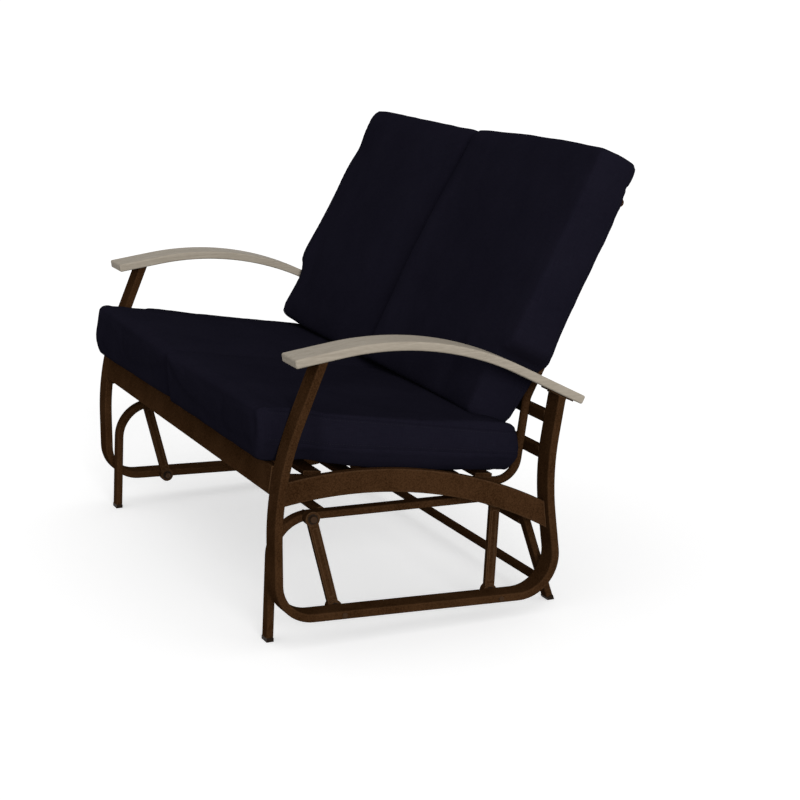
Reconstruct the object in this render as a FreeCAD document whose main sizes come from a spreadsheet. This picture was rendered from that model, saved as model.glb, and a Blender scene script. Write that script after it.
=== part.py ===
import FreeCAD, Part
import math
import os
from FreeCAD import Placement, Rotation, Vector

# Glider bench for two, with loose seat and back cushions.
# A fixed base of two bent side tubes and three cross tubes carries four
# links. The links carry the seat, which swings forward and back on them.
# X runs across the bench, the front faces -Y and Z is up from the floor.
# Depths in the sheet are measured from the toe of the base, and the row
# frame has its origin on the floor under the middle of the whole bench.

# Driving sizes in millimetres and degrees: alias, value, what it is
SIZES = [
    ("base_half_width", 538.5, "middle plane of a base side tube"),
    ("base_tube_wide", 30, "base side tube across the bench"),
    ("base_tube_thick", 16, "base side tube in its own bend plane"),
    ("base_tube_round", 4, "corner radius of the base side tube"),
    ("base_bend_radius", 84, "centre line radius of the base bends"),
    ("front_foot_y", 1.3, "front foot on the floor"),
    ("front_corner_y", 14.5, "front corner of the base side tube"),
    ("front_corner_z", 264.5, "height of that corner"),
    ("rear_corner_y", 585, "rear corner of the base side tube"),
    ("rear_corner_z", 251.5, "height of that corner"),
    ("rear_foot_y", 665.5, "rear foot on the floor"),
    ("cross_tube_across", 20, "diameter of the base cross tubes"),
    ("front_cross_y", 130, "front cross tube"),
    ("rear_upper_cross_z", 183, "height of the upper rear cross tube"),
    ("rear_lower_cross_z", 42, "height of the lower rear cross tube"),
    ("foot_plug_tall", 8, "plug between the tube end and the floor"),
    ("foot_stem_long", 18, "stem of the plug inside the tube"),
    ("foot_stem_wall", 3, "tube wall around the stem"),
    ("front_pivot_y", 92, "upper pivot of the front links"),
    ("rear_pivot_y", 517, "upper pivot of the rear links"),
    ("front_low_pivot_y", 140, "lower pivot of the front links"),
    ("rear_low_pivot_y", 504, "lower pivot of the rear links"),
    ("link_space", 22.5, "room for the links beside the base"),
    ("link_wide", 22, "link bar in its swing plane"),
    ("link_thick", 12, "link bar across the bench"),
    ("link_groove_wide", 10, "groove along each face of the bar"),
    ("link_groove_deep", 2, "depth of that groove"),
    ("hub_across", 32, "round hub at each end of a link"),
    ("hub_ring_across", 26, "shallow ring recess in the hub face"),
    ("hub_ring_deep", 0.8, "depth of that recess"),
    ("bush_across", 14, "barrel of a pivot bush"),
    ("bush_flange_across", 22, "flange of a pivot bush"),
    ("bush_flange_thick", 1.2, "thickness of that flange"),
    ("side_play", 0.3, "gap beside a bush flange"),
    ("bolt_across", 8, "shank of a pivot bolt"),
    ("bolt_play", 0.05, "radial play of a bolt in its bush"),
    ("open_pivot_play", 1.3, "radial play at the rear lower pivots"),
    ("upper_head_across", 15, "domed head of an upper bolt"),
    ("upper_head_thick", 5, "height of that head"),
    ("lower_head_across", 11, "head of a lower bolt"),
    ("lower_head_thick", 3, "height of that head"),
    ("nut_across", 14, "nut across its corners"),
    ("upper_nut_thick", 5, "nut of an upper bolt"),
    ("lower_nut_thick", 6.5, "lock nut of a lower bolt"),
    ("side_bar_wide", 52, "seat side frame across the bench"),
    ("side_bar_thick", 18, "seat side frame in its bend plane"),
    ("side_bar_round", 3, "corner radius of the side frame"),
    ("side_front_y", -4, "centre line of the front leg"),
    ("front_knee_z", 362, "height where the front leg turns back"),
    ("front_knee_radius", 650, "radius of that turn"),
    ("front_leg_top_y", 100, "front leg under the armrest"),
    ("front_leg_top_z", 607, "its height there"),
    ("low_front_z", 69.3, "front corner of the bottom rail"),
    ("low_front_radius", 79, "radius of that corner"),
    ("low_rear_y", 646, "rear corner of the bottom rail"),
    ("low_rear_z", 42.6, "height of that corner"),
    ("low_rear_radius", 85, "radius of that corner"),
    ("rear_knee_y", 615, "where the rear leg turns back"),
    ("rear_knee_z", 310, "height of that turn"),
    ("rear_knee_radius", 600, "radius of that turn"),
    ("rear_leg_top_y", 645.5, "rear leg under the armrest"),
    ("rear_leg_top_z", 480, "its height there"),
    ("arch_peak_y", 150, "highest point of the arched rail"),
    ("arch_peak_z", 342.6, "its centre line there"),
    ("arch_radius", 941.6, "centre line radius of the arch"),
    ("arch_tall", 49.5, "height of the arched rail"),
    ("arch_thick", 18, "arched rail across the bench"),
    ("arch_chamfer", 1.5, "broken edges of the arched rail"),
    ("weld_gap", 0.5, "largest gap where a straight end meets a curved bar"),
    ("arm_overhang", 12, "armrest past the outside of the side frame"),
    ("arm_wide", 81, "armrest across the bench"),
    ("arm_thick", 19, "thickness of an armrest"),
    ("arm_round", 4, "rounded edges of an armrest"),
    ("arm_front_y", 32, "front end of the armrest top"),
    ("arm_front_z", 618, "its height"),
    ("arm_peak_y", 351, "where the top lines would meet"),
    ("arm_peak_z", 659, "their height there"),
    ("arm_rear_y", 695, "rear end of the armrest top"),
    ("arm_rear_z", 479, "its height"),
    ("arm_bend_radius", 690, "bend of the armrest top"),
    ("plate_long", 60, "mounting plate along the armrest"),
    ("plate_wide", 46, "mounting plate across the bench"),
    ("plate_thick", 3, "thickness of that plate"),
    ("screw_spacing", 42, "between the two screws of a plate"),
    ("screw_across", 4.5, "screw shank"),
    ("screw_head_across", 9, "screw head"),
    ("screw_head_thick", 2.5, "height of the screw head"),
    ("screw_long", 16, "screw shank length"),
    ("fit_gap", 0.1, "clearance of a fixed bolt, screw or plug"),
    ("front_rail_tall", 60, "front rail, its tall face"),
    ("front_rail_thick", 18, "front rail thickness"),
    ("front_rail_round", 2.5, "rounded edges of the front rail"),
    ("front_rail_tilt", 8.6, "top of the front rail leans back"),
    ("front_rail_y", 6.9, "centre of the front rail"),
    ("front_rail_z", 357.1, "height of that centre"),
    ("back_rail_thick", 16, "back rails front to back"),
    ("back_rail_tall", 27, "back rails, their tall face"),
    ("back_rail_round", 3, "rounded edges of the back rails"),
    ("back_rail_upper_z", 427.8, "upper back rail"),
    ("back_rail_lower_z", 350.4, "lower back rail"),
    ("seat_tube_inset", 68, "middle plane of a seat and back tube, from the side frame"),
    ("seat_tube_across", 19, "diameter of that tube"),
    ("deck_y", 111, "centre of the first seat slat"),
    ("deck_z", 331.5, "tube centre under the first slat"),
    ("deck_rake", 7.2, "seat deck falls to the rear"),
    ("deck_bend_radius", 52, "bend from seat to back"),
    ("back_bend_z", 455, "height where the back leans further"),
    ("back_bend_radius", 70, "radius of that bend"),
    ("back_lean", 27.6, "lean of the backrest from upright"),
    ("back_top_z", 870, "centre of the top cross tube"),
    ("slat_overhang", 12, "slat end past the middle of its tube"),
    ("slat_wide", 40, "slat width"),
    ("slat_thick", 10, "slat thickness"),
    ("slat_round", 2, "rounded edges of a slat"),
    ("slat_pitch", 80, "between seat slats"),
    ("seat_slats", 6, "number of seat slats"),
    ("back_slat_first", 70, "first back slat above the bend"),
    ("back_slat_pitch", 112, "between back slats"),
    ("back_slats", 4, "number of back slats"),
    ("cushion_gap", 0.3, "clearance around a cushion"),
    ("seat_pad_front_y", -30, "front of the seat cushions"),
    ("seat_pad_rear_y", 542, "rear of the seat cushions"),
    ("seat_pad_low_front_z", 391.5, "lower edge at the toe"),
    ("seat_pad_low_fall", 0.1625, "fall of the lower edge per depth"),
    ("seat_pad_top_front_z", 511, "upper edge at the toe"),
    ("seat_pad_top_fall", 0.1783, "fall of the upper edge per depth"),
    ("seat_pad_crown", 13, "crown of the top panel"),
    ("seat_pad_leg_gap", 1.2, "seat cushion to a front leg"),
    ("seat_pad_widening", 25.2, "how much wider it is behind the legs"),
    ("back_pad_tall", 582, "back cushion along its lean"),
    ("back_pad_low_z", 452, "low front edge of the back cushion"),
    ("back_pad_thick", 104, "back cushion between its seams"),
    ("back_pad_rear_crown", 16, "crown of the rear panel"),
    ("back_pad_front_crown", 24, "crown of the front panel"),
    ("back_pad_arm_gap", 6, "back cushion to an armrest"),
    ("back_pad_widening", 47, "how much wider it is above the armrests"),
    ("pad_side_bulge", 9, "bulge of a cushion's side"),
    ("pad_end_reach", 26, "length over which a cushion's end draws in"),
    ("pad_end_inset", 12, "how far it draws in at the very end"),
    ("pad_widen_reach", 45, "length over which a cushion widens"),
    ("pad_spans", 7, "spans of a cushion behind or above its widening"),
    ("seat_pad_rest_y", 40, "the seat cushion sags behind this depth"),
    ("seat_pad_widen_y", 74, "it widens behind the front legs"),
]

doc = FreeCAD.newDocument("glider_bench")
sheet = doc.addObject("Spreadsheet::Sheet", "sizes")
for row, (alias, value, note) in enumerate(SIZES, start=1):
    sheet.set("A%d" % row, alias)
    sheet.set("B%d" % row, str(value))
    sheet.set("C%d" % row, note)
    sheet.setAlias("B%d" % row, alias)
doc.recompute()

sub_parts = []


def size(alias):
    return float(sheet.get(alias))


def value_of(expression):
    """The number that an expression of the sheet's aliases gives."""
    return float(sheet.evalExpression(expression))


def sub_part(obj, label):
    obj.Label = label
    sub_parts.append(obj)
    return obj


# Plane geometry in the (depth, height) plane


def unit(p, q):
    length = math.hypot(q[0] - p[0], q[1] - p[1])
    return ((q[0] - p[0]) / length, (q[1] - p[1]) / length)


def along(p, direction, distance):
    return (p[0] + direction[0] * distance, p[1] + direction[1] * distance)


def left_of(direction):
    return (-direction[1], direction[0])


def meet(p, dp, q, dq):
    """Where the line through p along dp meets the line through q along dq."""
    cross = dp[0] * dq[1] - dp[1] * dq[0]
    step = ((q[0] - p[0]) * dq[1] - (q[1] - p[1]) * dq[0]) / cross
    return along(p, dp, step)


def fillet(p, corner, q, radius):
    """Tangent points, middle and centre of the arc that rounds a corner."""
    into = unit(p, corner)
    out = unit(corner, q)
    turn = math.atan2(into[0] * out[1] - into[1] * out[0], into[0] * out[0] + into[1] * out[1])
    reach = radius * math.tan(abs(turn) / 2)
    start = along(corner, into, -reach)
    end = along(corner, out, reach)
    side = math.copysign(1, turn)
    centre = along(start, left_of(into), side * radius)
    middle = along(centre, unit(centre, corner), radius)
    return start, middle, end, centre


def offset_line(points, distance):
    """The polyline moved sideways, to the left when distance is positive."""
    directions = [unit(p, q) for p, q in zip(points, points[1:])]
    moved = [along(points[0], left_of(directions[0]), distance)]
    for i in range(1, len(points) - 1):
        before = along(points[i], left_of(directions[i - 1]), distance)
        after = along(points[i], left_of(directions[i]), distance)
        moved.append(meet(before, directions[i - 1], after, directions[i]))
    moved.append(along(points[-1], left_of(directions[-1]), distance))
    return moved


def turn_sign(p, corner, q):
    into = unit(p, corner)
    out = unit(corner, q)
    return math.copysign(1, into[0] * out[1] - into[1] * out[0])


def bar_outline(points, radii, left, right, end_round):
    """Corners and radii of a bent bar's edge, from its reference line."""
    left_side = offset_line(points, left)
    right_side = offset_line(points, -right)
    left_radii = [end_round]
    right_radii = [end_round]
    for i, radius in enumerate(radii, start=1):
        side = turn_sign(points[i - 1], points[i], points[i + 1])
        left_radii.append(radius - side * left)
        right_radii.append(radius + side * right)
    left_radii.append(end_round)
    right_radii.append(end_round)
    return left_side + right_side[::-1], left_radii + right_radii[::-1]


def loop_curves(corners, radii):
    """Lines and arcs of a closed loop with rounded corners, in a sketch."""
    curves = []
    count = len(corners)
    ends = []
    for i in range(count):
        if radii[i] > 0:
            after = corners[(i + 1) % count]
            start, middle, end, centre = fillet(corners[i - 1], corners[i], after, radii[i])
            ends.append((start, end))
            arc = Part.Arc(Vector(*start, 0), Vector(*middle, 0), Vector(*end, 0))
            curves.append(arc)
        else:
            ends.append((corners[i], corners[i]))
    for i in range(count):
        start = ends[i][1]
        end = ends[(i + 1) % count][0]
        curves.append(Part.LineSegment(Vector(*start, 0), Vector(*end, 0)))
    return curves


# Derived places

base_front_foot = (size("front_foot_y"), 0)
base_front_corner = (size("front_corner_y"), size("front_corner_z"))
base_rear_corner = (size("rear_corner_y"), size("rear_corner_z"))
base_rear_foot = (size("rear_foot_y"), 0)
base_outer_x = size("base_half_width") + size("base_tube_wide") / 2
base_inner_x = size("base_half_width") - size("base_tube_wide") / 2
side_inner_x = base_outer_x + size("link_space")
side_outer_x = side_inner_x + size("side_bar_wide")
side_middle_x = side_inner_x + size("side_bar_wide") / 2
link_x = base_outer_x + size("link_space") / 2
arm_outer_x = side_outer_x + size("arm_overhang")
arm_inner_x = arm_outer_x - size("arm_wide")
seat_tube_x = side_inner_x - size("seat_tube_inset")

# The same widths as text, for the objects that are bound to the sheet
side_inner_text = "(sizes.base_half_width + sizes.base_tube_wide / 2 + sizes.link_space)"
rail_long = "2 * " + side_inner_text
top_tube_long = "2 * (%s - sizes.seat_tube_inset) + sizes.seat_tube_across" % side_inner_text
slat_long = "2 * (%s - sizes.seat_tube_inset + sizes.slat_overhang)" % side_inner_text
bolt_hole = "sizes.bolt_across + 2 * sizes.fit_gap"
bush_hole = "sizes.bush_across + 2 * sizes.fit_gap"


def on_line(p, q, depth):
    """The point at a given depth on the line through p and q."""
    return (depth, p[1] + (q[1] - p[1]) * (depth - p[0]) / (q[0] - p[0]))


def at_height(p, q, height):
    """The point at a given height on the line through p and q."""
    return (p[0] + (q[0] - p[0]) * (height - p[1]) / (q[1] - p[1]), height)


front_leg_top = (size("front_leg_top_y"), size("front_leg_top_z"))
front_knee = (size("side_front_y"), size("front_knee_z"))
low_front = (size("side_front_y"), size("low_front_z"))
low_rear = (size("low_rear_y"), size("low_rear_z"))
rear_knee = (size("rear_knee_y"), size("rear_knee_z"))
rear_leg_top = (size("rear_leg_top_y"), size("rear_leg_top_z"))
front_leg_end = along(front_leg_top, unit(front_knee, front_leg_top), size("arm_thick"))
rear_leg_end = along(rear_leg_top, unit(rear_knee, rear_leg_top), size("arm_thick"))
side_line = [front_leg_end, front_knee, low_front, low_rear, rear_knee, rear_leg_end]
side_radii = [size(name + "_radius") for name in ("front_knee", "low_front", "low_rear", "rear_knee")]

front_pivot = on_line(base_front_corner, base_rear_corner, size("front_pivot_y"))
rear_pivot = on_line(base_front_corner, base_rear_corner, size("rear_pivot_y"))
front_low_pivot = on_line(low_front, low_rear, size("front_low_pivot_y"))
rear_low_pivot = on_line(low_front, low_rear, size("rear_low_pivot_y"))

arm_line = [
    (size("arm_front_y"), size("arm_front_z")),
    (size("arm_peak_y"), size("arm_peak_z")),
    (size("arm_rear_y"), size("arm_rear_z")),
]


def leg_y(below, knee, above, radius, height):
    """Depth of a leg's centre line at a height, through its rounded knee."""
    start, middle, end, centre = fillet(below, knee, above, radius)
    if height <= start[1]:
        return at_height(below, knee, height)[0]
    if height >= end[1]:
        return at_height(knee, above, height)[0]
    return centre[0] - math.sqrt(radius ** 2 - (height - centre[1]) ** 2)


def front_leg_y(height):
    return leg_y(low_front, front_knee, front_leg_top, size("front_knee_radius"), height)


def rear_leg_y(height):
    return leg_y(low_rear, rear_knee, rear_leg_top, size("rear_knee_radius"), height)


tube_radius = size("seat_tube_across") / 2
half_rail = (size("back_rail_thick") / 2, size("back_rail_tall") / 2)
low_touch = (rear_leg_y(size("back_rail_lower_z")) - half_rail[0], size("back_rail_lower_z") + half_rail[1])
high_touch = (rear_leg_y(size("back_rail_upper_z")) - half_rail[0], size("back_rail_upper_z") + half_rail[1])
upright = unit(low_touch, high_touch)
upright_foot = along(low_touch, left_of(upright), tube_radius)
deck_rake = math.radians(size("deck_rake"))
deck_direction = (math.cos(deck_rake), -math.sin(deck_rake))
deck_up = left_of(deck_direction)
deck_first = (size("deck_y"), size("deck_z"))
deck_corner = meet(deck_first, deck_direction, upright_foot, upright)
back_bend = at_height(upright_foot, along(upright_foot, upright, 1), size("back_bend_z"))
back_lean = math.radians(size("back_lean"))
back_up = (math.sin(back_lean), math.cos(back_lean))
back_front = left_of(back_up)
back_top = at_height(back_bend, along(back_bend, back_up, 1), size("back_top_z"))

# The row frame's origin is under the middle of the whole depth.
middle_y = (size("seat_pad_front_y") + back_top[0] + tube_radius) / 2


def spot(x, point):
    """A place in the row frame from x and a (depth, height) point."""
    return Vector(x, point[0] - middle_y, point[1])


def tilt(degrees):
    """Rotation about X that lifts the rear when degrees is positive."""
    return Rotation(Vector(1, 0, 0), degrees)


def slope_of(direction):
    return math.degrees(math.atan2(direction[1], direction[0]))


# Makers of bars, boxes, rods and groups


def origin_plane(body, role):
    for feature in body.Origin.OriginFeatures:
        if feature.Role == role:
            return feature
    raise RuntimeError("no plane " + role)


def face_edges(pad, wide, shortest):
    """Names of the edges around a pad's two faces that are long enough."""
    names = []
    for number, edge in enumerate(pad.Shape.Edges, start=1):
        box = edge.BoundBox
        on_face = box.XLength < 1e-6 and min(abs(box.XMin), abs(box.XMin - wide)) < 1e-6
        if on_face and edge.Length > shortest:
            names.append("Edge%d" % number)
    return names


def padded_body(name, curves, wide, x):
    """A body whose outline is padded across the bench."""
    body = doc.addObject("PartDesign::Body", name)
    sketch = body.newObject("Sketcher::SketchObject", name + "_outline")
    sketch.AttachmentSupport = (origin_plane(body, "YZ_Plane"), [""])
    sketch.MapMode = "FlatFace"
    sketch.addGeometry(curves, False)
    pad = body.newObject("PartDesign::Pad", name + "_pad")
    pad.Profile = sketch
    pad.setExpression("Length", "sizes." + wide)
    body.Placement = Placement(spot(x, (0, 0)), Rotation())
    doc.recompute()
    return body


def rounded_body(name, curves, wide, round_size, x):
    """A padded body whose edges across its faces are rounded."""
    body = padded_body(name, curves, wide, x)
    pad = body.Tip
    rounding = body.newObject("PartDesign::Fillet", name + "_rounding")
    rounding.Base = (pad, face_edges(pad, size(wide), 0))
    rounding.setExpression("Radius", "sizes." + round_size)
    body.Tip = rounding
    doc.recompute()
    return body


def chamfered_body(name, curves, wide, chamfer_size, x, shortest):
    """A padded body whose long edges are chamfered and whose ends are square."""
    body = padded_body(name, curves, wide, x)
    pad = body.Tip
    chamfer = body.newObject("PartDesign::Chamfer", name + "_chamfer")
    chamfer.Base = (pad, face_edges(pad, size(wide), shortest))
    chamfer.setExpression("Size", "sizes." + chamfer_size)
    body.Tip = chamfer
    doc.recompute()
    return body


def cylinder_across(name, across, length, x, point):
    """A rod along X from x, with its diameter and length from the sheet."""
    rod = doc.addObject("Part::Cylinder", name)
    rod.setExpression("Radius", "(%s) / 2" % across)
    rod.setExpression("Height", length)
    rod.Placement = Placement(spot(x, point), Rotation(Vector(0, 1, 0), 90))
    return rod


def centred_box(name, long, wide, tall, x, point, degrees):
    """A box about its centre: long on X, wide and tall before its tilt."""
    box = doc.addObject("Part::Box", name)
    box.setExpression("Length", long)
    box.setExpression("Width", wide)
    box.setExpression("Height", tall)
    doc.recompute()
    half = Vector(box.Length.Value / 2, box.Width.Value / 2, box.Height.Value / 2)
    turn = tilt(degrees)
    box.Placement = Placement(spot(x, point) - turn.multVec(half), turn)
    return box


def long_rounding(name, box, round_size):
    """Round the edges of a box that run along X."""
    doc.recompute()
    edges = []
    radius = size(round_size)
    for number, edge in enumerate(box.Shape.Edges, start=1):
        if edge.BoundBox.XLength > box.Length.Value / 2:
            edges.append((number, radius, radius))
    rounding = doc.addObject("Part::Fillet", name)
    rounding.Base = box
    rounding.Edges = edges
    return rounding


def cut(name, base, tools):
    """Base with the tools taken out of it."""
    tool = tools[0]
    if len(tools) > 1:
        tool = doc.addObject("Part::MultiFuse", name + "_tools")
        tool.Shapes = tools
    result = doc.addObject("Part::Cut", name)
    result.Base = base
    result.Tool = tool
    return result


def fuse(name, shapes):
    result = doc.addObject("Part::MultiFuse", name)
    result.Shapes = shapes
    return result


def group(name, solids):
    """Separate solids that share one node."""
    result = doc.addObject("Part::Compound", name)
    result.Links = solids
    return sub_part(result, name)


SIDES = [("right", 1), ("left", -1)]


def low_x(side, near, far):
    """The lower X of a span between two distances from the middle."""
    return near if side > 0 else -far


# Base

tube_ends = []
base_line = [base_front_foot, base_front_corner, base_rear_corner, base_rear_foot]
for foot, corner in ((base_front_foot, base_front_corner), (base_rear_foot, base_rear_corner)):
    tube_ends.append(at_height(foot, corner, size("foot_plug_tall")))
tube_line = [tube_ends[0], base_front_corner, base_rear_corner, tube_ends[1]]
half_base = size("base_tube_thick") / 2
base_radii = [size("base_bend_radius")] * 2
pivot_points = [("front", front_pivot), ("rear", rear_pivot)]
stem_wide = "sizes.base_tube_wide - 2 * sizes.foot_stem_wall"
stem_thick = "sizes.base_tube_thick - 2 * sizes.foot_stem_wall"

foot_plugs = []
for side_name, side in SIDES:
    corners, radii = bar_outline(tube_line, base_radii, half_base, half_base, 0)
    inner = low_x(side, base_inner_x, base_outer_x)
    curves = loop_curves(corners, radii)
    bar = rounded_body("base_bar_" + side_name, curves, "base_tube_wide", "base_tube_round", inner)
    holes = []
    middle_x = side * size("base_half_width")
    feet = (("front", tube_ends[0], base_front_corner), ("rear", tube_ends[1], base_rear_corner))
    for end_name, end, corner in feet:
        up = unit(end, corner)
        lean = slope_of(up) - 90
        label = "%s_%s" % (end_name, side_name)
        stem_point = along(end, up, size("foot_stem_long") / 2)
        hole = centred_box("socket_" + label, stem_wide + " + 2 * sizes.fit_gap",
                           stem_thick + " + 2 * sizes.fit_gap",
                           "sizes.foot_stem_long + 2 * sizes.fit_gap", middle_x, stem_point, lean)
        holes.append(hole)
        stem = centred_box("stem_" + label, stem_wide, stem_thick, "sizes.foot_stem_long",
                           middle_x, stem_point, lean)
        head_point = along(end, up, -size("foot_plug_tall"))
        head = centred_box("plug_head_" + label, "sizes.base_tube_wide", "sizes.base_tube_thick",
                           "2 * sizes.foot_plug_tall", middle_x, head_point, lean)
        below = centred_box("below_floor_" + label, "2 * sizes.base_tube_wide", "4 * sizes.base_tube_thick",
                            "4 * sizes.foot_plug_tall", middle_x, (end[0], -2 * size("foot_plug_tall")), 0)
        plug = cut("foot_plug_" + label, fuse("foot_body_" + label, [stem, head]), [below])
        foot_plugs.append(plug)
    for pivot_name, point in pivot_points:
        label = "base_hole_%s_%s" % (pivot_name, side_name)
        holes.append(cylinder_across(label, bolt_hole, "sizes.base_tube_wide", inner, point))
    sub_part(cut("base_cut_" + side_name, bar, holes), "base_side_tube_" + side_name)
group("foot_plugs", foot_plugs)

cross_points = [
    ("base_front_cross_tube", on_line(base_front_corner, base_rear_corner, size("front_cross_y"))),
    ("base_rear_upper_cross_tube", at_height(base_rear_corner, base_rear_foot, size("rear_upper_cross_z"))),
    ("base_rear_lower_cross_tube", at_height(base_rear_corner, base_rear_foot, size("rear_lower_cross_z"))),
]
cross_long = "2 * sizes.base_half_width - sizes.base_tube_wide"
for label, point in cross_points:
    sub_part(cylinder_across(label, "sizes.cross_tube_across", cross_long, -base_inner_x, point), label)

# Links with their bushes, and the pivot bolts and nuts

hub_long = "sizes.link_space - 2 * sizes.side_play - 2 * sizes.bush_flange_thick"
hub_half = (size("link_space") - 2 * size("side_play") - 2 * size("bush_flange_thick")) / 2
link_ends = [
    ("front", front_pivot, front_low_pivot, ["bolt_play", "bolt_play"]),
    ("rear", rear_pivot, rear_low_pivot, ["bolt_play", "open_pivot_play"]),
]


def flanged_bush(name, play, x, point, outward):
    """Half of a hub's lining: barrel to the hub's middle, flange outside."""
    barrel_long = "(%s) / 2 - sizes.fit_gap" % hub_long
    barrel_length = hub_half - size("fit_gap")
    inner_face = x + outward * size("fit_gap")
    barrel_x = inner_face if outward > 0 else inner_face - barrel_length
    flange_x = x + hub_half if outward > 0 else x - hub_half - size("bush_flange_thick")
    barrel = cylinder_across(name + "_barrel", "sizes.bush_across", barrel_long, barrel_x, point)
    flange = cylinder_across(name + "_flange", "sizes.bush_flange_across", "sizes.bush_flange_thick",
                             flange_x, point)
    bore = cylinder_across(name + "_bore", "sizes.bolt_across + 2 * sizes." + play, "sizes.link_space",
                           x - size("link_space") / 2, point)
    return cut(name, fuse(name + "_body", [barrel, flange]), [bore])


for pair_name, top, bottom, plays in link_ends:
    bushes = []
    for side_name, side in SIDES:
        name = "link_%s_%s" % (pair_name, side_name)
        x = side * link_x
        up = unit(bottom, top)
        lean = slope_of(up) - 90
        middle = ((top[0] + bottom[0]) / 2, (top[1] + bottom[1]) / 2)
        distance = math.hypot(top[0] - bottom[0], top[1] - bottom[1])
        bar = centred_box(name + "_bar", "sizes.link_thick", "sizes.link_wide", "%r" % distance,
                          x, middle, lean)
        hubs = []
        bores = []
        for end_name, point in (("upper", top), ("lower", bottom)):
            label = "%s_%s" % (name, end_name)
            hubs.append(cylinder_across(label + "_hub", "sizes.hub_across", hub_long, x - hub_half, point))
            bores.append(cylinder_across(label + "_bore", bush_hole, "sizes.link_space",
                                         x - size("link_space") / 2, point))
            for face in (1, -1):
                ring_x = x + hub_half - size("hub_ring_deep") if face > 0 else x - hub_half
                ring = cylinder_across("%s_ring_%d" % (label, face), "sizes.hub_ring_across",
                                       "sizes.hub_ring_deep", ring_x, point)
                seat = cylinder_across("%s_seat_%d" % (label, face), "sizes.bush_flange_across",
                                       "sizes.hub_ring_deep", ring_x, point)
                bores.append(cut("%s_groove_%d" % (label, face), ring, [seat]))
        groove_long = distance - 2 * size("hub_across") * 0.75
        for face in (1, -1):
            groove_x = x + face * (size("link_thick") - size("link_groove_deep")) / 2
            bores.append(centred_box("%s_groove_%d" % (name, face), "sizes.link_groove_deep",
                                     "sizes.link_groove_wide", "%r" % groove_long, groove_x, middle, lean))
        sub_part(cut(name + "_cut", fuse(name + "_body", [bar] + hubs), bores), name)
        for end_name, point, play in (("upper", top, plays[0]), ("lower", bottom, plays[1])):
            for outward in (1, -1):
                half_name = "out" if outward > 0 else "in"
                label = "%s_%s_bush_%s" % (name, end_name, half_name)
                bushes.append(flanged_bush(label, play, x, point, outward))
    group(pair_name + "_link_bushes", bushes)


def hex_nut(name, thick, x, point):
    """A nut on a bolt along X, with a hole that clears the shank."""
    nut = doc.addObject("Part::Prism", name + "_body")
    nut.Polygon = 6
    nut.setExpression("Circumradius", "sizes.nut_across / 2")
    nut.setExpression("Height", thick)
    nut.Placement = Placement(spot(x, point), Rotation(Vector(0, 1, 0), 90))
    hole = cylinder_across(name + "_hole", "sizes.bolt_across + 2 * sizes.fit_gap", thick, x, point)
    return cut(name, nut, [hole])


def bolt(name, head_across, head_thick, shank_long, near_x, side, point):
    """A bolt whose head's inner face is at near_x, its shank towards X = 0."""
    shank_x = near_x - value_of(shank_long) if side > 0 else -near_x
    head_x = near_x if side > 0 else -near_x - value_of(head_thick)
    shank = cylinder_across(name + "_shank", "sizes.bolt_across", shank_long, shank_x, point)
    head = cylinder_across(name + "_head", head_across, head_thick, head_x, point)
    body = fuse(name + "_body", [shank, head])
    doc.recompute()
    outer_x = side * (near_x + value_of(head_thick))
    edges = []
    for number, edge in enumerate(body.Shape.Edges, start=1):
        box = edge.BoundBox
        round_edge = abs(box.XMin - outer_x) < 1e-6 and abs(box.XMax - outer_x) < 1e-6
        if round_edge:
            edges.append((number, value_of(head_thick) * 0.4, value_of(head_thick) * 0.4))
    rounding = doc.addObject("Part::Fillet", name)
    rounding.Base = body
    rounding.Edges = edges
    return rounding


upper_bolts = []
upper_nuts = []
lower_bolts = []
lower_nuts = []
upper_head_x = base_outer_x + size("link_space")
upper_shank = "sizes.link_space + sizes.base_tube_wide + sizes.upper_nut_thick"
lower_shank = "sizes.side_bar_wide + sizes.link_space + sizes.lower_nut_thick"
for pair_name, top, bottom, plays in link_ends:
    for side_name, side in SIDES:
        name = "%s_%s" % (pair_name, side_name)
        upper_bolts.append(bolt("upper_bolt_" + name, "sizes.upper_head_across", "sizes.upper_head_thick",
                                upper_shank, upper_head_x, side, top))
        lower_bolts.append(bolt("lower_bolt_" + name, "sizes.lower_head_across", "sizes.lower_head_thick",
                                lower_shank, side_outer_x, side, bottom))
        upper_nuts.append(hex_nut("upper_nut_" + name, "sizes.upper_nut_thick",
                                  low_x(side, base_inner_x - size("upper_nut_thick"), base_inner_x), top))
        lower_nuts.append(hex_nut("lower_nut_" + name, "sizes.lower_nut_thick",
                                  low_x(side, base_outer_x - size("lower_nut_thick"), base_outer_x), bottom))
group("upper_pivot_bolts", upper_bolts)
group("upper_pivot_nuts", upper_nuts)
group("lower_pivot_bolts", lower_bolts)
group("lower_pivot_nuts", lower_nuts)

# Armrests, their mounting plates and screws

front_fall = unit(arm_line[0], arm_line[1])
rear_fall = unit(arm_line[1], arm_line[2])
front_under = along(arm_line[0], left_of(front_fall), -size("arm_thick"))
rear_under = along(arm_line[2], left_of(rear_fall), -size("arm_thick"))
leg_meets = [
    ("front", meet(front_under, front_fall, front_leg_top, unit(front_knee, front_leg_top)), front_fall),
    ("rear", meet(rear_under, rear_fall, rear_leg_top, unit(rear_knee, rear_leg_top)), rear_fall),
]

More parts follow.
